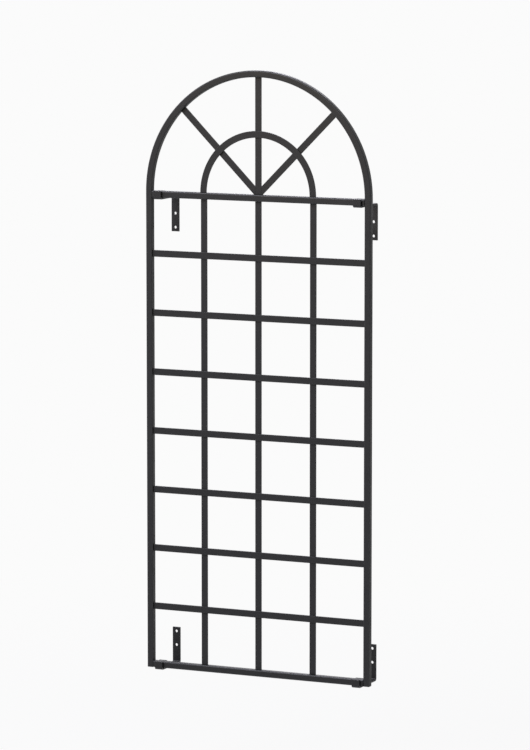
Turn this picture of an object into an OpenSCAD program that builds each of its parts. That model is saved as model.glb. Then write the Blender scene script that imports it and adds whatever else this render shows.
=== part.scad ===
// Arched espalier frame: a hoop of square steel tube filled with lapped flat bars,
// hung by its two rails in four bent strip brackets on a wall.
// The wall is the plane y = 0, and the front of the frame looks towards -Y.
// z = 0 lies midway between the arms of the upper and the lower brackets.

/* [Lattice] */
// Distance between neighbouring vertical bars, centre to centre
column_pitch = 177; // [140:1:220]
// Distance between neighbouring horizontal bars, centre to centre
row_pitch = 177; // [140:1:220]
// Slope of the diagonal spokes above the top rail, in degrees
spoke_angle = 45; // [38:1:52]
// Room for the weld between a spoke's end and the arch
weld_gap = 0.3; // [0.3:0.1:1]

/* [Square tube] */
// Outside width of the tube
tube = 20; // [18:1:30]
// Outside corner radius of the tube
tube_r = 4; // [2.5:0.5:5]
// Wall of the tube
tube_wall = 2; // [1:0.25:2.5]

/* [Flat bar] */
// Width of the lattice bars
flat_w = 20; // [12:1:25]
// Thickness of the lattice bars
flat_t = 4; // [3:0.5:5]

/* [Wall brackets] */
// Clear distance between the back of the tube and the wall
wall_gap = 100; // [60:1:160]
// Gap between a leg and the bracket beside it
bracket_gap = 8.5; // [5:0.5:40]
// Width of the bracket strip
strip_w = 25; // [20:1:35]
// Thickness of the bracket strip
strip_t = 5; // [3:0.5:6]
// Inside radius of the strip's bends
bend_r = 2; // [1:0.5:4]
// Room before and behind the rail in its cradle
cradle_gap = 2; // [1:0.5:4]
// Room under the rail for the coating that it rests on
seat_gap = 0.2; // [0.2:0.1:0.5]
// Rise of the cradle's lip and keeper above the top of the rail
lip_rise = -0.2; // [-6:0.1:6]
// Length of the wall plate, over its bend
plate_l = 110; // [90:1:140]
// Diameter of the screw holes
hole_d = 8.5; // [5:0.5:10]
// Distance from the plate's free end to its first hole
hole_end = 12.5; // [10:0.5:16]
// Distance between the plate's two holes
hole_pitch = 42; // [30:1:50]

/* [Leg plugs] */
// Thickness of a plug's head, below the tube
plug_head = 3; // [2:0.5:5]
// Chamfer round the head's lower edge
plug_edge = 1; // [0.5:0.25:1.5]
// Depth of a plug's body in the tube
plug_depth = 15; // [8:1:30]
// Clearance between a plug's body and the tube
plug_gap = 0.1; // [0.1:0.05:0.3]

/* [Hidden] */
$fn = 96;
steel = "#39393b";
plastic = "#2b2b2d";

// Four columns of eight rows, with a bar on each line between them
columns = 4;
rows = 8;
column_names = ["left", "centre", "right"];
sides = [["left", -1], ["right", 1]];
levels = [["upper", 1], ["lower", -1]];

// The bracket arms, and the rails that rest on them
arm_z = rows * row_pitch / 2;
rail_rise = strip_t / 2 + seat_gap + tube / 2;
lip_h = seat_gap + tube + lip_rise;
bend_out = bend_r + strip_t;

// Side view of a bracket, measured from the middle of the tube
lip_front = tube / 2 + cradle_gap + strip_t;
wall_back = tube / 2 + wall_gap;
frame_y = -wall_back;

// The arches and the fan spring from the top face of the top rail
arch_r = columns * column_pitch / 2;
clear_r = arch_r - tube / 2;
fan_z = arm_z + rail_rise + tube / 2;
spoke_l = sqrt(pow(clear_r - weld_gap, 2) - pow(flat_w / 2, 2));
bracket_x = clear_r - bracket_gap - strip_w / 2;
foot_z = rail_rise - arm_z - tube / 2 + plug_head;

// Square with round corners, centred on the origin
module rounded_square(side, r) {
    square([side, side - 2 * r], center = true);
    square([side - 2 * r, side], center = true);
    for (x = [-1, 1], y = [-1, 1])
        translate([x, y] * (side / 2 - r))
            circle(r);
}

// Cross-section of the hollow tube
module tube_profile() {
    difference() {
        rounded_square(tube, tube_r);
        rounded_square(tube - 2 * tube_wall, tube_r - tube_wall);
    }
}

// Turns a profile, drawn at its radius along X, through the upper half circle about Y
module half_turn() {
    rotate([90, 0, 0])
        rotate_extrude(angle = 180)
            children();
}

// Puts an outline drawn in XZ at the fan's centre, in the back layer of bars
module back_layer() {
    translate([0, frame_y + flat_t, fan_z])
        rotate([90, 0, 0])
            linear_extrude(flat_t)
                children();
}

// One tube bent to two legs and a half-round arch
module outer_hoop() {
    color(steel)
        translate([0, frame_y, fan_z]) {
            half_turn()
                translate([arch_r, 0])
                    tube_profile();
            for (side = [-1, 1])
                translate([side * arch_r, 0, foot_z - fan_z])
                    linear_extrude(fan_z - foot_z)
                        tube_profile();
        }
}

// Tube between the legs, above the upper arms (end 1) or the lower arms (end -1)
module rail(end) {
    color(steel)
        translate([0, frame_y, end * arm_z + rail_rise])
            rotate([90, 0, 90])
                linear_extrude(2 * clear_r, center = true)
                    tube_profile();
}

// Flat bar between the rails in the back layer, on column line -1, 0 or 1
module vertical_bar(line) {
    color(steel)
        translate([line * column_pitch - flat_w / 2, frame_y, rail_rise - arm_z + tube / 2])
            cube([flat_w, flat_t, 2 * arm_z - tube]);
}

// Flat bar between the legs in the front layer, on row line 1 to 7 from the top
module horizontal_bar(line) {
    color(steel)
        translate([-clear_r, frame_y - flat_t, rail_rise + arm_z - line * row_pitch - flat_w / 2])
            cube([2 * clear_r, flat_t, flat_w]);
}

// Half-round flat bar in the front layer, in line with the outer vertical bars
module inner_arch() {
    color(steel)
        translate([0, frame_y, fan_z])
            half_turn()
                translate([column_pitch - flat_w / 2, 0])
                    square([flat_w, flat_t]);
}

// Flat bar from the top rail to the crown of the arch
module centre_spoke() {
    color(steel)
        back_layer()
            translate([-flat_w / 2, 0])
                square([flat_w, spoke_l]);
}

// Sloping flat bar, cut to the side of the centre spoke and to the top of the rail
module diagonal_spoke(side) {
    half = flat_w / 2;
    along = [cos(spoke_angle), sin(spoke_angle)];
    across = [-sin(spoke_angle), cos(spoke_angle)];
    fork_h = half * (1 + sin(spoke_angle)) * tan(spoke_angle) + half * cos(spoke_angle);
    color(steel)
        back_layer()
            mirror([side < 0 ? 1 : 0, 0])
                polygon([
                    [half, 0],
                    [half / sin(spoke_angle), 0],
                    spoke_l * along - half * across,
                    spoke_l * along + half * across,
                    [half, fork_h]
                ]);
}

// Plug in the foot of a leg, with its head level with the bottom rail's underside
module leg_plug(side) {
    body = tube - 2 * tube_wall - 2 * plug_gap;
    color(plastic)
        translate([side * arch_r, frame_y, foot_z]) {
            linear_extrude(plug_depth)
                rounded_square(body, tube_r - tube_wall);
            hull($fn = 32) {
                translate([0, 0, plug_edge - plug_head])
                    linear_extrude(plug_head - plug_edge)
                        rounded_square(tube, tube_r);
                translate([0, 0, -plug_head])
                    linear_extrude(plug_edge)
                        rounded_square(tube - 2 * plug_edge, tube_r - plug_edge);
            }
        }
}

// Quarter bend of the strip about the origin, in the quadrant below and before it
module quarter_bend() {
    intersection() {
        difference() {
            circle(bend_out);
            circle(bend_r);
        }
        translate([-bend_out, -bend_out])
            square(bend_out);
    }
}

// Side view of a bracket about the middle of its arm, with the wall to the right:
// front lip, seat and arm, and a wall plate that stands up (rise 1) or hangs down (rise -1)
module bracket_outline(rise) {
    bend_z = bend_out - strip_t / 2;
    translate([-lip_front, bend_z])
        square([strip_t, lip_h + strip_t / 2 - bend_z]);
    translate([bend_out - lip_front, bend_z])
        quarter_bend();
    translate([bend_out - lip_front, -strip_t / 2])
        square([lip_front + wall_back - 2 * bend_out, strip_t]);
    mirror([0, rise < 0 ? 1 : 0]) {
        translate([wall_back - bend_out, bend_z])
            mirror([1, 0])
                quarter_bend();
        translate([wall_back - strip_t, bend_z])
            square([strip_t, plate_l - bend_out]);
    }
}

// Bracket on one side (-1 or 1) of the upper (level 1) or lower (level -1) pair
module bracket(side, level) {
    rise = -level;
    color(steel)
        translate([side * bracket_x, frame_y, level * arm_z])
            difference() {
                rotate([90, 0, 90])
                    linear_extrude(strip_w, center = true)
                        bracket_outline(rise);
                for (n = [0, 1])
                    translate([0, wall_back, rise * (plate_l - strip_t / 2 - hole_end - n * hole_pitch)])
                        rotate([90, 0, 0])
                            cylinder(d = hole_d, h = 4 * strip_t, center = true);
            }
}

// Tab welded on a bracket's arm behind the rail, which closes the back of the cradle
module keeper(side, level) {
    color(steel)
        translate([side * bracket_x - strip_w / 2, frame_y + tube / 2 + cradle_gap, level * arm_z + strip_t / 2])
            cube([strip_w, strip_t, lip_h]);
}

outer_hoop();
rail(1);  // top_rail
rail(-1);  // bottom_rail
for (i = [0:2])
    vertical_bar(i - 1);
for (i = [1:rows - 1])
    horizontal_bar(i);
inner_arch();
centre_spoke();
for (side = sides) {
    diagonal_spoke(side[1]);
    leg_plug(side[1]);
}
for (level = levels, side = sides) {
    bracket(side[1], level[1]);
    keeper(side[1], level[1]);
}
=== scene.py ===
import math

import bpy
import numpy as np
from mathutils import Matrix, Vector


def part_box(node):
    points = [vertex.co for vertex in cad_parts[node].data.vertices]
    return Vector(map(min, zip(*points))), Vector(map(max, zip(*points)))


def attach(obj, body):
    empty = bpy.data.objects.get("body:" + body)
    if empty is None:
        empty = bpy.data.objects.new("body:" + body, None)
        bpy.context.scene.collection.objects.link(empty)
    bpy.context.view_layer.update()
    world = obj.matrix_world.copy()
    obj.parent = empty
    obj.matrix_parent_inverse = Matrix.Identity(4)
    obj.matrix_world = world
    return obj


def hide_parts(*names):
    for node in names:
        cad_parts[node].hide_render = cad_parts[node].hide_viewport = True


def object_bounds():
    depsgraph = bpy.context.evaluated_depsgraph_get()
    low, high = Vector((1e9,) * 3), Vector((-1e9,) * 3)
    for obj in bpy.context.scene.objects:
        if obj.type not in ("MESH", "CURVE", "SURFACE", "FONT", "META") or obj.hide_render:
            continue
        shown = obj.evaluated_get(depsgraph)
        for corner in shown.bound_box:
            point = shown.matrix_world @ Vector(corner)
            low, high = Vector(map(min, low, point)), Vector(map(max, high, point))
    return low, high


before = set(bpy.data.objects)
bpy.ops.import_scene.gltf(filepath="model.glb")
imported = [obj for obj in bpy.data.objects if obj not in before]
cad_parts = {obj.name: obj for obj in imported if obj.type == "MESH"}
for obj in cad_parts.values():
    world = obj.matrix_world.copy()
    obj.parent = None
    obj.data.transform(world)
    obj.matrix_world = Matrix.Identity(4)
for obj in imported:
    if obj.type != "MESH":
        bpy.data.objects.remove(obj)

cadLow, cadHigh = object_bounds()
scene = bpy.context.scene
mm = 0.001
xAxis, yAxis, zAxis = np.eye(3)


# An sRGB hex colour as linear light: the sRGB curve undone on each channel.
def linear(hexColour):
    srgb = np.array([int(hexColour[k:k + 2], 16) for k in (1, 3, 5)]) / 255
    return (*np.where(srgb <= 0.04045, srgb / 12.92, ((srgb + 0.055) / 1.055) ** 2.4), 1.0)


# Adds one node with its settings. An input that is a socket is linked, and any other is set.
def addNode(tree, kind, inputs, **settings):
    node = tree.nodes.new(kind)
    for key, value in settings.items():
        setattr(node, key, value)
    for key, value in inputs.items():
        if isinstance(value, bpy.types.NodeSocket):
            tree.links.new(value, node.inputs[key])
        else:
            node.inputs[key].default_value = value
    return node


# An empty material and its node tree.
def newMaterial(name):
    material = bpy.data.materials.new(name)
    material.use_nodes = True
    material.node_tree.nodes.clear()
    return material, material.node_tree


# Polyester powder coat on steel: sprayed dry and baked to a satin skin, anthracite to black. It shows as a
# very dark, faintly cold grey with a soft broad sheen, a shallow orange-peel waviness and a fine grain. The
# film is thinner and glossier on the edges and in bends, where charged powder hardly reaches. Its lighter
# tone there is partly that thin film and partly a painted highlight on the roundings. Real grain is finer: it
# is drawn this coarse so that it shows close up.
powderCoat = {
    # The edge tone is lighter: partly thin film, partly a painted highlight on the roundings.
    "film": "#1a1a1b", "thickFilm": "#111112", "edgeFilmAndHighlight": "#353537",
    "roughness": (0.48, 0.61), "edgeRoughness": 0.36, "specular": 0.32,
    "cloudSize": 60, "peelSize": 3.0, "grainSize": 0.7,  # mm across one patch, wave or grain
    "cloudDetail": 3.0, "peelDetail": 1.0, "grainDetail": 2.0,
    "cloudRange": (0.3, 0.7),  # the part of the clouds that takes the roughness from end to end
    "peelDepth": 0.09, "grainDepth": 0.07,  # mm
    "edgePeel": 0.15,  # share of both depths that is left where the film is thin
}


# Clouds turn one film into the other in tone and gloss, and thin film takes a gloss of its own and a lighter
# tone that is partly a painted highlight. Peel and grain are bumps, one on the other. A Mix node has its
# plain values in sockets 2 and 3 and its colours in 6 and 7, and its output 2 is a colour.
def makePowderCoat(look):
    material, tree = newMaterial("satin_powder_coated_steel")
    place = addNode(tree, "ShaderNodeTexCoord", {}).outputs["Object"]
    clouds = addNode(tree, "ShaderNodeTexNoise", {
        "Vector": place, "Scale": 1 / (look["cloudSize"] * mm), "Detail": look["cloudDetail"]}).outputs["Fac"]
    peel = addNode(tree, "ShaderNodeTexNoise", {
        "Vector": place, "Scale": 1 / (look["peelSize"] * mm), "Detail": look["peelDetail"]}).outputs["Fac"]
    grain = addNode(tree, "ShaderNodeTexNoise", {
        "Vector": place, "Scale": 1 / (look["grainSize"] * mm), "Detail": look["grainDetail"]}).outputs["Fac"]
    edge = addNode(tree, "ShaderNodeAttribute", {}, attribute_name="thinFilm").outputs["Fac"]

    film = addNode(tree, "ShaderNodeMix", {
        "Factor": clouds, 6: linear(look["film"]), 7: linear(look["thickFilm"])}, data_type="RGBA")
    # Lighter tone where the film is thin: partly real thin film, partly a painted highlight on the roundings.
    edgeToneAndHighlight = addNode(tree, "ShaderNodeMath", {0: edge, 1: clouds}, operation="MULTIPLY").outputs[0]
    colour = addNode(tree, "ShaderNodeMix", {
        "Factor": edgeToneAndHighlight, 6: film.outputs[2], 7: linear(look["edgeFilmAndHighlight"])}, data_type="RGBA")
    broad = addNode(tree, "ShaderNodeMapRange", {
        "Value": clouds, "From Min": look["cloudRange"][0], "From Max": look["cloudRange"][1],
        "To Min": look["roughness"][0], "To Max": look["roughness"][1]}).outputs["Result"]
    rough = addNode(tree, "ShaderNodeMix", {
        "Factor": edge, 2: broad, 3: look["edgeRoughness"]}, data_type="FLOAT").outputs[0]
    relief = addNode(tree, "ShaderNodeMapRange", {
        "Value": edge, "To Min": 1.0, "To Max": look["edgePeel"]}).outputs["Result"]
    waves = addNode(tree, "ShaderNodeBump", {
        "Height": peel, "Strength": relief, "Distance": look["peelDepth"] * mm})
    grains = addNode(tree, "ShaderNodeBump", {
        "Height": grain, "Strength": relief, "Distance": look["grainDepth"] * mm,
        "Normal": waves.outputs["Normal"]})

    shader = addNode(tree, "ShaderNodeBsdfPrincipled", {
        "Base Color": colour.outputs[2], "Roughness": rough, "Specular IOR Level": look["specular"],
        "Normal": grains.outputs["Normal"]})
    addNode(tree, "ShaderNodeOutputMaterial", {"Surface": shader.outputs["BSDF"]})
    return material


# Polyethylene, moulded in a spark-eroded tool: a soft black with a waxy sheen and a fine even stipple. The
# stipple is drawn coarser than a real one, so that it shows close up.
plugPlastic = {
    "bulk": "#232324", "flow": "#2b2b2c", "roughness": (0.48, 0.6), "specular": 0.35, "flowDetail": 2.0,
    "flowSize": 9, "stippleSize": 0.4, "stippleDepth": 0.02,  # mm
}


# Flow marks turn one tone and gloss into another, and the stipple is a bump.
def makePlugPlastic(look):
    material, tree = newMaterial("moulded_polyethylene")
    place = addNode(tree, "ShaderNodeTexCoord", {}).outputs["Object"]
    flow = addNode(tree, "ShaderNodeTexNoise", {
        "Vector": place, "Scale": 1 / (look["flowSize"] * mm), "Detail": look["flowDetail"]}).outputs["Fac"]
    stipple = addNode(tree, "ShaderNodeTexVoronoi", {
        "Vector": place, "Scale": 1 / (look["stippleSize"] * mm)}).outputs["Distance"]
    colour = addNode(tree, "ShaderNodeMix", {
        "Factor": flow, 6: linear(look["bulk"]), 7: linear(look["flow"])}, data_type="RGBA")
    rough = addNode(tree, "ShaderNodeMapRange", {
        "Value": flow, "To Min": look["roughness"][0], "To Max": look["roughness"][1]}).outputs["Result"]
    bump = addNode(tree, "ShaderNodeBump", {
        "Height": stipple, "Strength": 1.0, "Distance": look["stippleDepth"] * mm})
    shader = addNode(tree, "ShaderNodeBsdfPrincipled", {
        "Base Color": colour.outputs[2], "Roughness": rough, "Specular IOR Level": look["specular"],
        "Normal": bump.outputs["Normal"]})
    addNode(tree, "ShaderNodeOutputMaterial", {"Surface": shader.outputs["BSDF"]})
    return material


coatFinish = ("coated_steel", makePowderCoat(powderCoat))
plugFinish = ("plug_plastic", makePlugPlastic(plugPlastic))
print("materials made")


# A CAD node's lowest and highest corners in millimetres.
def nodeBox(name):
    low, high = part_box(name)
    return np.array(low) / mm, np.array(high) / mm


# A rectangle with round corners, walked anticlockwise: each point is a corner's centre plus the corner's
# radius along its own normal, so a smaller radius insets the whole outline. Breaks add points at those widths
# on both long flats. The film is thinnest half way round a corner, by sin(2a) for the corner's angle a.
def roundedOutline(width, depth, radius, steps=6, breaks=()):
    quarter = np.linspace(0, math.pi / 2, steps + 1)
    angles = quarter + np.arange(4)[:, None] * math.pi / 2
    corners = np.array([[1, 1], [-1, 1], [-1, -1], [1, -1]]) * [width / 2 - radius, depth / 2 - radius]
    centres = [np.repeat(corner[None], steps + 1, axis=0) for corner in corners]
    normals = [np.stack([np.cos(row), np.sin(row)], -1) for row in angles]
    thin = [np.sin(2 * quarter)] * 4
    across = np.sort(np.array(breaks, float))[::-1]
    flat = [np.stack([across, np.full(len(across), side * (depth / 2 - radius))], -1) for side in (1, -1)]
    upright = [np.tile([0.0, side], (len(across), 1)) for side in (1, -1)]
    bare = np.zeros(len(across))
    return {
        "centres": np.concatenate([centres[0], flat[0], centres[1], centres[2], flat[1][::-1], centres[3]]),
        "normals": np.concatenate([normals[0], upright[0], normals[1], normals[2], upright[1], normals[3]]),
        "thin": np.concatenate([thin[0], bare, thin[1], thin[2], bare, thin[3]]),
        "radius": radius,
    }


# A flat centreline of straight runs and round bends. Along a run the heading turns evenly, and the way from
# the run's start to a point is a chord: its length is the arc's times sin(h)/h for h half the turn, and it
# points half way round.
def centreline(start, heading, lengths, turns, at):
    lengths, turns = np.array(lengths, float), np.array(turns, float)

    def chords(length, turn, facing):
        middle = facing + turn / 2
        reach = length * np.sinc(turn / math.tau)
        return np.stack([reach * np.cos(middle), reach * np.sin(middle)], -1)

    before = np.concatenate([[0], np.cumsum(lengths)])
    facing = heading + np.concatenate([[0], np.cumsum(turns)])
    steps = np.cumsum(chords(lengths, turns, facing[:-1]), axis=0)
    joints = np.array(start) + np.concatenate([[[0, 0]], steps])
    run = np.clip(np.searchsorted(before, at, side="right") - 1, 0, len(lengths) - 1)
    along = at - before[run]
    turned = turns[run] * along / lengths[run]
    return joints[run] + chords(along, turned, facing[run]), facing[run] + turned


# Stations along a length of stock: its two ends and the places between them. An end is rounded off by a
# quarter circle, 1 - sin(a) along and 1 - cos(a) inwards, times the round, as a falls from 90 degrees to 0.
def stationsOf(length, between, endRound, steps=4):
    quarter = np.linspace(math.pi / 2, 0, steps + 1)
    ends = endRound * (1 - np.sin(quarter))
    inset = endRound * (1 - np.cos(quarter))
    between = np.array(sorted(between), float)
    still = np.zeros(len(between))
    return {
        "at": np.concatenate([ends, between, length - ends[::-1]]),
        "inset": np.concatenate([inset, still, inset[::-1]]),
        "lean": np.concatenate([-np.sin(quarter), still, np.sin(quarter)[::-1]]),
        "thin": np.concatenate([np.sin(2 * quarter), still, np.sin(2 * quarter)[::-1]]),
    }


# Carries an outline along a centreline. A point is the centreline's point plus the outline's first offset to
# the left of the heading and its second square to the plane. The normals lean along the heading where an end
# is rounded. A bore has facing -1: its normals point inwards, and its ends open out.
def carryOutline(outline, path, stations, origin, plane, facing=1):
    middle, heading = path
    across, up = plane
    ahead = np.cos(heading)[:, None] * across + np.sin(heading)[:, None] * up
    left = np.cos(heading)[:, None] * up - np.sin(heading)[:, None] * across
    square = np.cross(across, up)
    radius = outline["radius"] - facing * stations["inset"]
    offset = outline["centres"] + radius[:, None, None] * outline["normals"]
    centre = origin + middle[:, :1] * across + middle[:, 1:] * up
    points = centre[:, None] + offset[..., :1] * left[:, None] + offset[..., 1:] * square
    sides = outline["normals"][:, :1] * left[:, None] + outline["normals"][:, 1:] * square
    lean = stations["lean"][:, None, None]
    normals = facing * np.sqrt(1 - lean ** 2) * sides + lean * ahead[:, None]
    thin = np.maximum(outline["thin"], stations["thin"][:, None])
    return points, normals, thin


# Quads of a skin over stations and outline points, with the numbers of the points in rows. A band joins its
# last station to its first.
def skinFaces(stations, around, band=False):
    rows = np.arange(stations if band else stations - 1)
    row, column = np.meshgrid(rows, np.arange(around), indexing="ij")
    beside = (column + 1) % around
    here, beyond = row * around, (row + 1) % stations * around
    return np.stack([here + column, here + beside, beyond + beside, beyond + column], -1)


# Quads that close both ends: each joins an outline point and its neighbour to their mirror points.
def capFaces(stations, around):
    point = np.arange(around // 2 - 1)
    cap = np.stack([point, point + 1, around - 2 - point, around - 1 - point], -1)
    return np.concatenate([cap[:, ::-1], cap + (stations - 1) * around])


# Puts points, normals and thinness of film into a mesh that rides on a body and stands for CAD nodes.
# Without normals of its own, a mesh is shaded smooth.
def addPiece(name, skin, faces, body, finish, standsFor=()):
    points, normals, thin = skin
    slotName, material = finish
    mesh = bpy.data.meshes.new(name)
    mesh.from_pydata(points.reshape(-1, 3) * mm, [], faces)
    mesh.shade_smooth()
    if normals is not None:
        mesh.normals_split_custom_set_from_vertices(normals.reshape(-1, 3))
    film = mesh.attributes.new("thinFilm", "FLOAT", "POINT")
    film.data.foreach_set("value", thin.astype(np.float32).ravel())
    mesh.materials.append(material)
    piece = bpy.data.objects.new(name, mesh)
    scene.collection.objects.link(piece)
    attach(piece, body)
    if standsFor:
        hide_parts(*standsFor)


# Adds a length of stock for the node of its name: its skin with both ends closed.
def addStock(name, ending, skin, body, finish):
    shape = skin[0].shape[:2]
    faces = np.concatenate([skinFaces(*shape).reshape(-1, 4), capFaces(*shape)])
    addPiece(name + ending, skin, faces.tolist(), body, finish, [name])


frontPlane = (xAxis, zAxis)  # headings turn from +X towards +Z, and a second offset points to the front
sidePlane = (yAxis, zAxis)  # headings turn from +Y towards +Z, and a second offset points to +X

# Square tube: rolled with round corners, hollow, and sawn to ends that are broken inside and out.
squareTube = {
    "cornerRound": 4, "wall": 2, "endRound": 0.35,  # mm
    "cornerSteps": 8, "archSteps": 160,
}


# A tube along a centreline: its skin is carried forward and its bore back, as one band that closes on itself.
def makeTube(name, width, start, heading, lengths, turns, between):
    low, high = nodeBox(name)
    origin = (low + high) / 2 * yAxis
    stations = stationsOf(sum(lengths), between, squareTube["endRound"])
    path = centreline(start, heading, lengths, turns, stations["at"])
    grids = []
    for inset, facing in ((0, 1), (squareTube["wall"], -1)):
        side = width - 2 * inset
        outline = roundedOutline(side, side, squareTube["cornerRound"] - inset, squareTube["cornerSteps"])
        grids.append(carryOutline(outline, path, stations, origin, frontPlane, facing))
    skin = [np.concatenate([outside, bore[::-1]]) for outside, bore in zip(*grids)]
    faces = skinFaces(*skin[0].shape[:2], band=True).reshape(-1, 4)
    addPiece(name + "_coated", skin, faces.tolist(), "frame", coatFinish, [name])


# The hoop is one tube: up the left leg, over a half circle, and down the right leg.
def makeHoop():
    low, high = nodeBox("outer_hoop")
    width = high[1] - low[1]
    radius = (high[0] - low[0] - width) / 2
    leg = high[2] - low[2] - radius - width / 2
    arch = math.pi * radius
    between = leg + np.linspace(0, arch, squareTube["archSteps"] + 1)
    makeTube("outer_hoop", width, [-radius, low[2]], math.pi / 2,
             [leg, arch, leg], [0, -math.pi, 0], between)


# A rail is one straight run along X.
def makeRail(name):
    low, high = nodeBox(name)
    start = [low[0], (low[2] + high[2]) / 2]
    makeTube(name, high[1] - low[1], start, 0, [high[0] - low[0]], [0], [])


makeHoop()
makeRail("top_rail")
makeRail("bottom_rail")
print("hoop and rails made")

# Hot-rolled flat bar: its long edges are rounded by the mill, and its sawn ends are only broken. A spoke that
# ends on the curved tube reaches into the weld's root.
flatBar = {
    "edgeRound": 0.9, "endRound": 0.6, "weldRoot": 0.5,  # mm
    "archSteps": 96,
}


# A straight flat bar from its node's box: the outline's width lies in the frame's plane.
def makeStraightBar(name, root=0):
    low, high = nodeBox(name)
    size = high - low
    upright = size[2] > size[0]
    length, width = (size[2], size[0]) if upright else (size[0], size[2])
    middle = (low + high) / 2
    start = [middle[0], low[2]] if upright else [low[0], middle[2]]
    outline = roundedOutline(width, size[1], flatBar["edgeRound"])
    stations = stationsOf(length + root, [], flatBar["endRound"])
    path = centreline(start, math.pi / 2 if upright else 0, [length + root], [0], stations["at"])
    skin = carryOutline(outline, path, stations, middle * yAxis, frontPlane)
    addStock(name, "_coated", skin, "frame", coatFinish)


verticalBars = [f"{side}_vertical_bar" for side in ("left", "centre", "right")]
horizontalBars = [f"horizontal_bar_{line}" for line in range(1, 8)]
for barName in verticalBars + horizontalBars:
    makeStraightBar(barName)
makeStraightBar("centre_spoke", flatBar["weldRoot"])
print("straight bars made")


# The inner arch: the same bar bent on edge through a half circle whose centre is at its feet.
def makeInnerArch():
    low, high = nodeBox("inner_arch")
    width = np.ptp(nodeBox("horizontal_bar_1"), axis=0)[2]
    radius = (high[0] - low[0] - width) / 2
    length = math.pi * radius
    outline = roundedOutline(width, high[1] - low[1], flatBar["edgeRound"])
    between = np.linspace(0, length, flatBar["archSteps"] + 1)[1:-1]
    stations = stationsOf(length, between, flatBar["endRound"])
    path = centreline([-radius, low[2]], math.pi / 2, [length], [-math.pi], stations["at"])
    skin = carryOutline(outline, path, stations, (low + high) / 2 * yAxis, frontPlane)
    addStock("inner_arch", "_coated", skin, "frame", coatFinish)


# A diagonal spoke: a straight bar at 45 degrees, whose foot is cut by the rail's top and the centre spoke's
# side. A point that lies off the centreline by v starts where its line rises above the rail and clears the
# spoke, whichever is further: max(-v / tan(slope), (half + v sin(slope)) / cos(slope)).
def makeDiagonalSpoke(name, side):
    slope = math.pi / 4
    low, high = nodeBox(name)
    half = np.ptp(nodeBox("centre_spoke"), axis=0)[0] / 2
    reach = high[2] - low[2] - half * math.cos(slope)
    length = reach / math.sin(slope) + flatBar["weldRoot"]
    heading = slope if side > 0 else math.pi - slope
    breaks = [-side * half * math.sin(slope)]
    outline = roundedOutline(2 * half, high[1] - low[1], flatBar["edgeRound"], breaks=breaks)
    stations = stationsOf(length, [], flatBar["endRound"])
    path = centreline([0, low[2]], heading, [length], [0], stations["at"])
    points, normals, thin = carryOutline(outline, path, stations, (low + high) / 2 * yAxis, frontPlane)
    ahead = math.cos(heading) * xAxis + math.sin(heading) * zAxis
    radius = (outline["radius"] - stations["inset"])[:, None]
    offCentre = side * (outline["centres"][:, 0] + radius * outline["normals"][:, 0])
    aboveRail = -offCentre / math.tan(slope)
    clearOfSpoke = (half + offCentre * math.sin(slope)) / math.cos(slope)
    foot = (stations["at"] < length / 2)[:, None]
    points += (np.maximum(aboveRail, clearOfSpoke) * foot)[..., None] * ahead
    addStock(name, "_coated", (points, normals, thin), "frame", coatFinish)


makeInnerArch()
makeDiagonalSpoke("left_diagonal_spoke", -1)
makeDiagonalSpoke("right_diagonal_spoke", 1)
print("arch and diagonal spokes made")

# Bracket strip: flat stock bent cold, drilled twice, with every edge broken before coating.
wallStrip = {
    "edgeRound": 0.9, "endRound": 0.7, "bendRadius": 3,  # mm
    "holeDiameter": 8.5, "holeFromEnd": 12.5, "holeSpacing": 42, "holeEdge": 0.6, "holePatch": 7,  # mm
    "bendSteps": 12, "holeSteps": 48, "rimSteps": 4,
}


# The wall and rims of one drilled hole: a circle about the hole's axis, carried from the face on the strip's
# left over a quarter-round rim, down the wall and over the other rim.
def holeSkin(centre, ahead, left, square, thickness):
    turn = np.linspace(0, math.tau, wallStrip["holeSteps"], endpoint=False)
    rim = np.linspace(0, math.pi / 2, wallStrip["rimSteps"] + 1)
    edge = wallStrip["holeEdge"]
    radius = wallStrip["holeDiameter"] / 2 + edge - edge * np.sin(rim)
    height = thickness / 2 - edge + edge * np.cos(rim)
    radius = np.concatenate([radius, radius[::-1]])[:, None, None]
    height = np.concatenate([height, -height[::-1]])[:, None, None]
    facing = np.concatenate([np.cos(rim), -np.cos(rim[::-1])])[:, None, None]
    outward = np.cos(turn)[:, None] * ahead + np.sin(turn)[:, None] * square
    inward = np.sqrt(1 - facing ** 2)
    points = centre + radius * outward + height * left
    normals = facing * left - inward * outward
    thin = np.concatenate([np.sin(2 * rim), np.sin(2 * rim[::-1])])[:, None] * np.ones(len(turn))
    return points, normals, thin


# The columns of a strip's quads that lie on its two broad faces, left and right of the heading.
def broadFaces(around):
    return around - 1, around // 2 - 1


# The faces of one hole whose rings start at a point's number: the wall and rims, and on each broad face two
# half panels, each bounded by the strip's flat over three stations and by half of the hole's rim.
def holeFaces(rows, around, rings, start):
    steps = wallStrip["holeSteps"]
    quarterTurn = steps // 4
    leftFlat, rightFlat = broadFaces(around)
    faces = (skinFaces(rings, steps)[..., ::-1] + start).reshape(-1, 4).tolist()
    for column, way, ring in ((leftFlat, 1, 0), (rightFlat, -1, rings - 1)):
        sideA = rows + column
        sideB = rows + (column + 1) % around
        sweep = np.arange(steps // 2 + 1) * way
        circle = start + ring * steps
        nearArc = circle + (way * quarterTurn + sweep) % steps
        farArc = circle + (-way * quarterTurn + sweep) % steps
        faces.append([sideA[0], sideB[0], sideB[1], *nearArc, sideA[1]])
        faces.append([sideA[1], *farArc, sideB[1], sideB[2], sideA[2]])
    return faces


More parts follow.
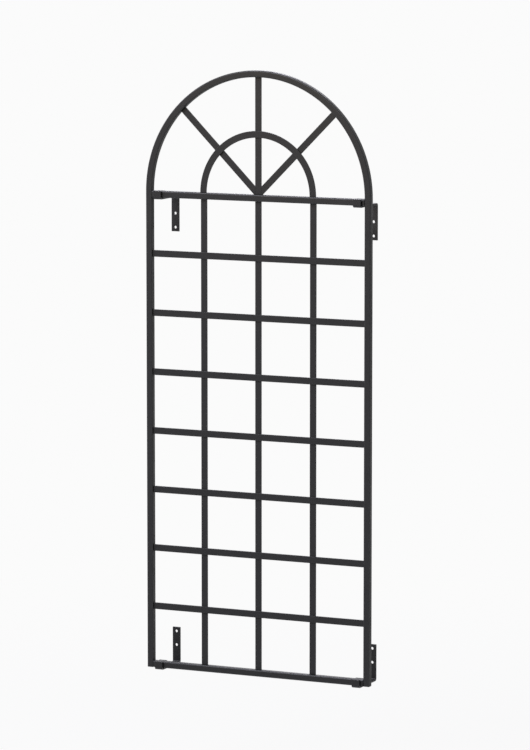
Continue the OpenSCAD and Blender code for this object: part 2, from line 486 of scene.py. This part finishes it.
# One bracket along its bent centreline: lip, bend, arm, bend and drilled plate. In a bend the film is
# thinnest half way round, by sin(2h) for the heading h.
def makeBracket(name, keeper, rise):
    low, high = nodeBox(name)
    keeperLow, keeperHigh = nodeBox(keeper)
    thickness = keeperHigh[1] - keeperLow[1]
    armZ = keeperLow[2] - thickness / 2
    bend = wallStrip["bendRadius"] + thickness / 2
    plateEnd = high[2] if rise > 0 else low[2]
    start = [low[1] + thickness / 2, keeperHigh[2]]
    lip = start[1] - armZ - bend
    arm = high[1] - low[1] - thickness - 2 * bend
    plate = rise * (plateEnd - armZ) - bend
    quarterArc = bend * math.pi / 2
    lengths = [lip, quarterArc, arm, quarterArc, plate]
    turns = [0, math.pi / 2, 0, rise * math.pi / 2, 0]
    before = np.concatenate([[0], np.cumsum(lengths)])
    length = before[-1]

    holes = length - wallStrip["holeFromEnd"] - wallStrip["holeSpacing"] * np.array([1, 0])
    patches = holes[:, None] + wallStrip["holePatch"] * np.array([-1, 0, 1])
    bends = [np.linspace(before[k], before[k + 1], wallStrip["bendSteps"] + 1) for k in (1, 3)]
    stations = stationsOf(length, np.concatenate([*bends, patches.ravel()]), wallStrip["endRound"])
    outline = roundedOutline(thickness, high[0] - low[0], wallStrip["edgeRound"])
    path = centreline(start, -math.pi / 2, lengths, turns, stations["at"])
    points, normals, thin = carryOutline(outline, path, stations, (low + high) / 2 * xAxis, sidePlane)
    thin = np.maximum(thin, abs(np.sin(2 * path[1]))[:, None])
    count, around = points.shape[:2]

    firsts = [int(np.argmin(abs(stations["at"] - patch[0]))) for patch in patches]
    strip = skinFaces(count, around)
    kept = np.ones(strip.shape[:2], bool)
    for first in firsts:
        kept[first:first + 2, broadFaces(around)] = False
    faces = strip[kept].tolist() + capFaces(count, around).tolist()

    skin = [[grid.reshape(-1, *grid.shape[2:])] for grid in (points, normals, thin)]
    total = count * around
    heading = rise * math.pi / 2
    ahead = math.sin(heading) * zAxis
    left = -math.sin(heading) * yAxis
    for first in firsts:
        hole = holeSkin(points[first + 1].mean(axis=0), ahead, left, xAxis, thickness)
        rings, steps = hole[0].shape[:2]
        faces += holeFaces((first + np.arange(3)) * around, around, rings, total)
        for parts, grid in zip(skin, hole):
            parts.append(grid.reshape(-1, *grid.shape[2:]))
        total += rings * steps
    faces = [[int(k) for k in face] for face in faces]
    skin = [np.concatenate(parts) for parts in skin]
    addPiece(name + "_coated", skin, faces, "wall_set", coatFinish, [name])


# A keeper: a short straight piece of the strip that stands on the arm.
def makeKeeper(name):
    low, high = nodeBox(name)
    size = high - low
    middle = (low + high) / 2
    outline = roundedOutline(size[1], size[0], wallStrip["edgeRound"])
    stations = stationsOf(size[2], [], wallStrip["endRound"])
    path = centreline([middle[1], low[2]], math.pi / 2, [size[2]], [0], stations["at"])
    skin = carryOutline(outline, path, stations, middle * xAxis, sidePlane)
    addStock(name, "_coated", skin, "wall_set", coatFinish)


keeperNames = [f"{level}_{side}_keeper" for level in ("upper", "lower") for side in ("left", "right")]
for keeperName in keeperNames:
    bracketName = keeperName.replace("keeper", "bracket")
    makeBracket(bracketName, keeperName, -1 if keeperName.startswith("upper") else 1)
    makeKeeper(keeperName)
print("brackets and keepers made")

# Leg plug: a square head under the tube and a body pushed into it.
legPlug = {
    "cornerRound": 4, "bodyInset": 2.1, "bodyBreak": 0.4,  # mm
    "headDepth": 3, "headRound": 1.2, "rimRound": 0.3,  # mm
    "steps": 5,
}


# A plug is one outline carried down from the top of its body: its insets step out to the head and round off
# below. It is moulded, so it has no thin film.
def makeLegPlug(name):
    low, high = nodeBox(name)
    width = high[0] - low[0]
    depth = high[2] - low[2]
    quarter = np.linspace(0, math.pi / 2, legPlug["steps"] + 1)
    rim, under = legPlug["rimRound"], legPlug["headRound"]
    body, edge = legPlug["bodyInset"], legPlug["bodyBreak"]
    bodyEnd = depth - legPlug["headDepth"]
    at = [[0, edge, bodyEnd - rim], bodyEnd + rim * (1 - np.cos(quarter)),
          depth - under + under * np.sin(quarter)]
    inset = [[body + edge, body, body], rim * (1 - np.sin(quarter)), under * (1 - np.cos(quarter))]
    lean = [[-1, 0, 0], -np.cos(quarter), np.sin(quarter)]
    stations = {"at": np.concatenate(at), "inset": np.concatenate(inset), "lean": np.concatenate(lean)}
    stations["thin"] = np.zeros(len(stations["at"]))
    outline = roundedOutline(width, width, legPlug["cornerRound"])
    middle = (low + high) / 2
    path = centreline([middle[0], high[2]], -math.pi / 2, [depth], [0], stations["at"])
    points, normals, thin = carryOutline(outline, path, stations, middle * yAxis, frontPlane)
    addStock(name, "_moulded", (points, normals, np.zeros_like(thin)), "frame", plugFinish)


for side in ("left", "right"):
    makeLegPlug(f"{side}_leg_plug")
print("leg plugs made")

# Weld beads: laid from behind so that the front stays clean, and coated over with the steel. The seam at a
# rail's end lies on the round corner of the leg.
weldBead = {
    "leg": 2.8, "length": 13, "root": 0.4, "ripple": 1.8,  # mm
    "fullness": 1.35, "rippleDepth": 0.11, "rippleBow": 0.4, "wanderTurns": 1.3,
    "lengthSpread": (0.88, 1.08), "taper": 0.93, "taperPower": 6,
    "hubRise": 1.4, "hubLength": 1.8,  # times half a bar's width
    "hubLegs": (1.8, 1.2), "railLegs": (2.6, 1.6), "railOut": 1.5, "railSink": 0.9,  # mm
    "keeperShare": 0.8,  # share of a keeper's width
    "perRipple": 4, "steps": 7, "seed": 4,
}


# One bead in the corner of two faces, each given by its direction away from the corner. Its section runs from
# the first to the second as leg * (first cos^p v + second sin^p v). Ripples swell it and bow forward in its
# middle, both ends taper, and its root lies in the steel. A seam on one flat face has v up to a half turn.
def beadSkin(middle, first, second, length, legs, span, chance):
    along = np.cross(first, second)
    length *= chance.uniform(*weldBead["lengthSpread"])
    rings = int(length / weldBead["ripple"] * weldBead["perRipple"])
    way = np.linspace(-0.5, 0.5, rings)[:, None]
    turn = np.linspace(0, span, weldBead["steps"] + 1)
    bow = np.sin(turn * math.pi / span)
    phase = way * length / weldBead["ripple"] + weldBead["rippleBow"] * bow + chance.random()
    ripple = np.sin(math.tau * phase)
    wander = np.sin(math.tau * (weldBead["wanderTurns"] * way + chance.random()))
    taper = np.sqrt(1 - weldBead["taper"] * (2 * way) ** weldBead["taperPower"])
    size = taper * (1 + weldBead["rippleDepth"] * (ripple * bow + wander))
    cosine, sine = np.cos(turn), np.sin(turn)
    reach = np.sign(cosine) * abs(cosine) ** weldBead["fullness"] * legs[0]
    rise = abs(sine) ** weldBead["fullness"] * legs[1]
    inwards = second + (first if span < math.pi else 0)
    root = middle - weldBead["root"] * inwards + length * way * along
    section = size[..., None] * (reach[:, None] * first + rise[:, None] * second)
    return np.concatenate([root[:, None] + section, root[:, None]], axis=1)


# Makes the beads at some places as one piece: each is a skin with a face on either end.
def makeBeads(name, places, body):
    chance = np.random.default_rng(weldBead["seed"])
    points, faces, total = [], [], 0
    for place in places:
        bead = beadSkin(*place, chance)
        rings, around = bead.shape[:2]
        faces += (skinFaces(rings, around) + total).reshape(-1, 4).tolist()
        faces.append(list(range(total + around - 1, total - 1, -1)))
        faces.append(list(range(total + (rings - 1) * around, total + rings * around)))
        points.append(bead.reshape(-1, 3))
        total += rings * around
    addPiece(name, (np.concatenate(points), None, np.zeros(total)), faces, body, coatFinish)


# The places of the frame's beads: where bars cross, where bars end on a tube, and where the rails end on the
# legs. A place is a corner, its two faces' directions, a length, two legs and the turn of the section.
def frameBeads():
    railLow, railHigh = nodeBox("top_rail")
    floorTop = nodeBox("bottom_rail")[1][2]
    barLow, barHigh = nodeBox("horizontal_bar_1")
    half = (barHigh[2] - barLow[2]) / 2
    frontBack = barHigh[1]
    backBack = nodeBox("centre_vertical_bar")[1][1]
    clear, springing = railHigh[0], railHigh[2]
    archRadius = nodeBox("inner_arch")[1][0] - half
    length, leg = weldBead["length"], weldBead["leg"]
    fillet = (length, (leg, leg), math.pi / 2)
    columns = [np.mean(nodeBox(name), axis=0)[0] for name in verticalBars]
    lines = [np.mean(nodeBox(name), axis=0)[2] for name in horizontalBars]
    angles = np.radians([45, 90, 135])
    spokes = [math.cos(angle) * xAxis + math.sin(angle) * zAxis for angle in angles]

    def at(x, y, z):
        return np.array([x, y, z], float)

    hub = at(0, backBack, springing)
    places = []
    for side in (-1, 1):
        out = side * xAxis
        places += [(at(x + side * half, frontBack, z), out, yAxis, *fillet) for x in columns for z in lines]
        places += [(at(side * clear, frontBack, z), -out, yAxis, *fillet) for z in lines]
        places += [(at(side * archRadius, frontBack, springing), yAxis, zAxis, *fillet)]
        places += [(at(side * clear, (railLow[1] + railHigh[1]) / 2, railLow[2]), -out, -zAxis, *fillet)]
        places += [(at(side * half, backBack, springing + weldBead["hubRise"] * half), out, yAxis,
                    weldBead["hubLength"] * half, weldBead["hubLegs"], math.pi)]
        places += [(at(side * (clear + weldBead["railOut"]), railHigh[1] - weldBead["railSink"], z),
                    xAxis, yAxis, length, weldBead["railLegs"], math.pi)
                   for z in (springing - half, floorTop - half)]
        for spoke in spokes:
            across = side * np.cross(spoke, yAxis)
            crossing = at(0, frontBack, springing) + archRadius * spoke + half * across
            places += [(crossing, across, yAxis, *fillet)]
    places += [(hub + clear * spoke, yAxis, -spoke, *fillet) for spoke in spokes]
    places += [(at(x, backBack, railLow[2]), yAxis, -zAxis, *fillet) for x in columns]
    places += [(at(x, backBack, floorTop), yAxis, zAxis, *fillet) for x in columns]
    places += [(hub, yAxis, zAxis, *fillet)]
    return places


# The places of the brackets' beads: behind each keeper, where it stands on the arm.
def wallBeads():
    places = []
    for name in keeperNames:
        low, high = nodeBox(name)
        foot = np.array([(low[0] + high[0]) / 2, high[1], low[2]])
        length = weldBead["keeperShare"] * (high[0] - low[0])
        places.append((foot, yAxis, zAxis, length, (weldBead["leg"],) * 2, math.pi / 2))
    return places


makeBeads("frame_weld_beads", frameBeads(), "frame")
makeBeads("wall_weld_beads", wallBeads(), "wall_set")
print("weld beads made")

# Studio: white ground for the eye and in reflections, over a pale floor.
studio = {
    "ground": "#fbfbfb",
    "floorDrop": 0.3, "floorSize": 12, "fadeFrom": 1.0, "fadeTo": 3.5,  # metres
    "floorShow": 0.05,  # share of the floor's own shade that the eye sees near the object
}


# The greatest of three: 1 for a ray from the camera, a gloss or a clear body, and 0 for light on the object.
def whiteForTheEye(tree):
    rays = addNode(tree, "ShaderNodeLightPath", {}).outputs
    seen = addNode(tree, "ShaderNodeMath", {
        0: rays["Is Camera Ray"], 1: rays["Is Glossy Ray"]}, operation="MAXIMUM").outputs[0]
    return addNode(tree, "ShaderNodeMath", {
        0: seen, 1: rays["Is Transmission Ray"]}, operation="MAXIMUM").outputs[0]


# The world is white to the eye and in reflections, and sends no other light.
def makeWorld():
    world = bpy.data.worlds.new("white_studio")
    world.use_nodes = True
    tree = world.node_tree
    tree.nodes.clear()
    white = addNode(tree, "ShaderNodeBackground", {
        "Color": linear(studio["ground"]), "Strength": whiteForTheEye(tree)})
    addNode(tree, "ShaderNodeOutputWorld", {"Surface": white.outputs[0]})
    scene.world = world


# The floor is pale and takes the object's shadow near it. Away from the object it fades into the white
# ground.
def makeFloor():
    material, tree = newMaterial("pale_studio_floor")
    place = addNode(tree, "ShaderNodeTexCoord", {}).outputs["Object"]
    away = addNode(tree, "ShaderNodeVectorMath", {0: place}, operation="LENGTH").outputs["Value"]
    shown = addNode(tree, "ShaderNodeMapRange", {
        "Value": away, "From Min": studio["fadeFrom"], "From Max": studio["fadeTo"],
        "To Min": 1 - studio["floorShow"], "To Max": 1.0}, interpolation_type="SMOOTHSTEP").outputs["Result"]
    white = addNode(tree, "ShaderNodeMath", {
        0: shown, 1: whiteForTheEye(tree)}, operation="MULTIPLY").outputs[0]
    paint = addNode(tree, "ShaderNodeBsdfDiffuse", {"Color": linear(studio["ground"])})
    glow = addNode(tree, "ShaderNodeEmission", {"Color": linear(studio["ground"]), "Strength": 1.0})
    mixed = addNode(tree, "ShaderNodeMixShader", {0: white, 1: paint.outputs[0], 2: glow.outputs[0]})
    addNode(tree, "ShaderNodeOutputMaterial", {"Surface": mixed.outputs[0]})
    half = studio["floorSize"] / 2
    level = cadLow[2] - studio["floorDrop"]
    corners = [(-half, -half, level), (half, -half, level), (half, half, level), (-half, half, level)]
    mesh = bpy.data.meshes.new("studio_floor")
    mesh.from_pydata(corners, [], [(0, 1, 2, 3)])
    mesh.materials.append(material)
    floor = bpy.data.objects.new("studio_floor", mesh)
    scene.collection.objects.link(floor)


# Large discs light the whole, and a small one near it lights the arch. Places and sizes are in metres, and
# powers in watts.
frameMiddle = (0, -0.1, 0.2)
lamps = {
    "high": {"at": (-2.45, -5.34, 7.1), "aim": frameMiddle, "size": 4.0, "power": 545, "colour": "#dde9ff"},
    "low": {"at": (-3.12, -6.78, 5.36), "aim": frameMiddle, "size": 4.0, "power": 255, "colour": "#fff3ec"},
    "left": {"at": (-7.06, -4.18, 4.0), "aim": frameMiddle, "size": 4.0, "power": 195, "colour": "#e2dbff"},
    "back": {"at": (-1.8, 4.8, 3.2), "aim": frameMiddle, "size": 3.0, "power": 135, "colour": "#f5f3ff"},
    "near": {"at": (-0.2, -1.1, 1.3), "aim": (0, 0, 0.8), "size": 0.8, "power": 3.0, "colour": "#ffdc90"},
}
# Narrow spots shine under the top rail and lift the upper wall plates out of its shade.
spots = {
    "rightPlate": {"at": (-0.127, -0.905, 0.45), "aim": (0.328, 0, 0.69), "power": 10, "colour": "#fffaf6"},
    "leftPlate": {"at": (-1.05, -0.905, 0.45), "aim": (-0.332, 0, 0.675), "power": 6, "colour": "#fffaf6"},
}
spotBeam = {"radius": 0.02, "cone": 8, "blend": 1.0}  # metres, degrees and share of the cone that fades


# Sets a lamp's power and colour, and turns it from its place towards its aim.
def placeLamp(name, data, lamp):
    data.energy = lamp["power"]
    data.color = linear(lamp["colour"])[:3]
    light = bpy.data.objects.new(name, data)
    light.location = lamp["at"]
    light.rotation_mode = "QUATERNION"
    light.rotation_quaternion = (Vector(lamp["aim"]) - Vector(lamp["at"])).to_track_quat("-Z", "Y")
    scene.collection.objects.link(light)


# A soft lamp: a disc that shines towards its aim.
def makeLamp(name, lamp):
    data = bpy.data.lights.new(name, "AREA")
    data.shape = "DISK"
    data.size = lamp["size"]
    placeLamp(name, data, lamp)


# A narrow lamp: a small ball that shines in a cone.
def makeSpot(name, spot):
    data = bpy.data.lights.new(name, "SPOT")
    data.shadow_soft_size = spotBeam["radius"]
    data.spot_size = math.radians(spotBeam["cone"])
    data.spot_blend = spotBeam["blend"]
    placeLamp(name, data, spot)


# The camera stands to the right and a little above, far off behind a long lens.
photo = {
    "azimuth": 25.09, "elevation": 7.4234,  # degrees
    "at": (5.365, -11.52095, 1.84075), "farthest": 200,  # metres
    "lens": 207.166, "sensor": 36,  # mm
}


# The camera looks back along the direction from the object to its azimuth and elevation.
def makeCamera():
    data = bpy.data.cameras.new("photo_camera")
    data.lens = photo["lens"]
    data.sensor_width = photo["sensor"]
    data.clip_end = photo["farthest"]
    camera = bpy.data.objects.new("photo_camera", data)
    around, above = math.radians(photo["azimuth"]), math.radians(photo["elevation"])
    level = math.cos(above)
    back = Vector((math.sin(around) * level, -math.cos(around) * level, math.sin(above)))
    camera.location = photo["at"]
    camera.rotation_mode = "QUATERNION"
    camera.rotation_quaternion = (-back).to_track_quat("-Z", "Y")
    scene.collection.objects.link(camera)
    scene.camera = camera


makeWorld()
makeFloor()
for lampName, lampFacts in lamps.items():
    makeLamp(lampName, lampFacts)
for spotName, spotFacts in spots.items():
    makeSpot(spotName, spotFacts)
makeCamera()
scene.view_settings.view_transform = "Standard"
print("studio ready")
